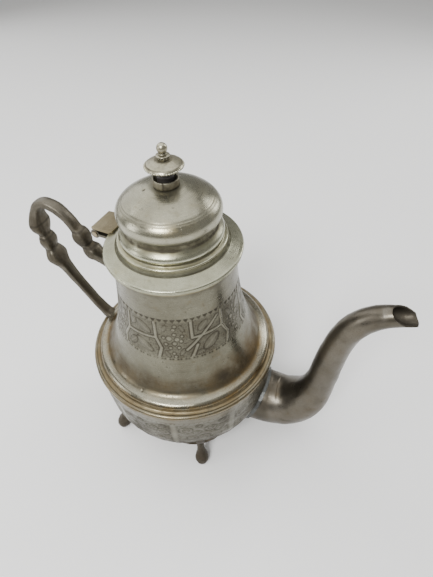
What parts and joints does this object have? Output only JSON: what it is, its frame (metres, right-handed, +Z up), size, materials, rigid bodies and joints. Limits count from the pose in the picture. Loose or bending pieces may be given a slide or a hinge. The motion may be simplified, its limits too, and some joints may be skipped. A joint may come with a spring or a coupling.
{
  "type": "footed coffee pot",
  "caption": "Footed metal coffee pot with a goose-neck spout, strap handle and hinged domed lid with a beaded finial, for brewing and pouring coffee or tea.",
  "frame": {"origin": "on the table plane under the middle of the whole pot, midway between the spout's tip and the handle; the pot's own axis stands at x = -21 mm", "axes": "+X points the way the spout points, +Z up, +Y to the left of the spout as seen from the handle"},
  "size_m": [0.2554, 0.14, 0.243],
  "materials": {
    "plated_shell": "worn nickel-silver plate over brass sheet, satin, with brassy and brown patches, engraved",
    "plated_lid": "pale satin plate with greenish-yellow bloom and brown grooves",
    "plated_dome": "satin spun plate with fine turning lines and small pits",
    "plated_spout": "dull grey-brown plate with hammer and file marks, bare inside",
    "plated_finial": "cast, satin, dark in the recesses",
    "cast_handle": "cast brass with dark grey-brown patina, lighter on the high edges",
    "cast_foot": "cast brass with dark brown patina",
    "worn_brass": "bare worn brass",
    "solder": "dull blue-grey soft solder",
    "small_hardware": "turned brass, dull",
    "dark_spacer": "blackened turned wood"
  },
  "bodies": {
    "pot": {"bowl": "plated_shell", "bell_body": "plated_shell", "seam_solder": "solder", "mouth_ring": "worn_brass", "spout": "plated_spout", "spout_solder": "solder", "handle": "cast_handle", "foot_front_left": "cast_foot", "foot_front_right": "cast_foot", "foot_rear_left": "cast_foot", "foot_rear_right": "cast_foot", "hinge_bracket": "cast_handle", "hinge_pin": "small_hardware"},
    "lid": {"lid_flange": "plated_lid", "lid_bezel": "worn_brass", "lid_dome": "plated_dome", "lid_leaf": "plated_lid", "lid_boss": "plated_finial", "finial_stud": "small_hardware", "finial_washer": "small_hardware", "finial_nut": "small_hardware", "finial_spacer": "dark_spacer", "finial_cap": "plated_finial", "finial_bead_ring": "plated_finial", "finial_ball": "plated_finial"}
  },
  "joints": [
    {"name": "lid_hinge", "type": "hinge", "parent": "pot", "child": "lid", "pos_m": [-0.07421, 0.00559, 0.1754], "axis": [-0.1045, -0.9945, 0], "range_deg": [0, 85]}
  ]
}
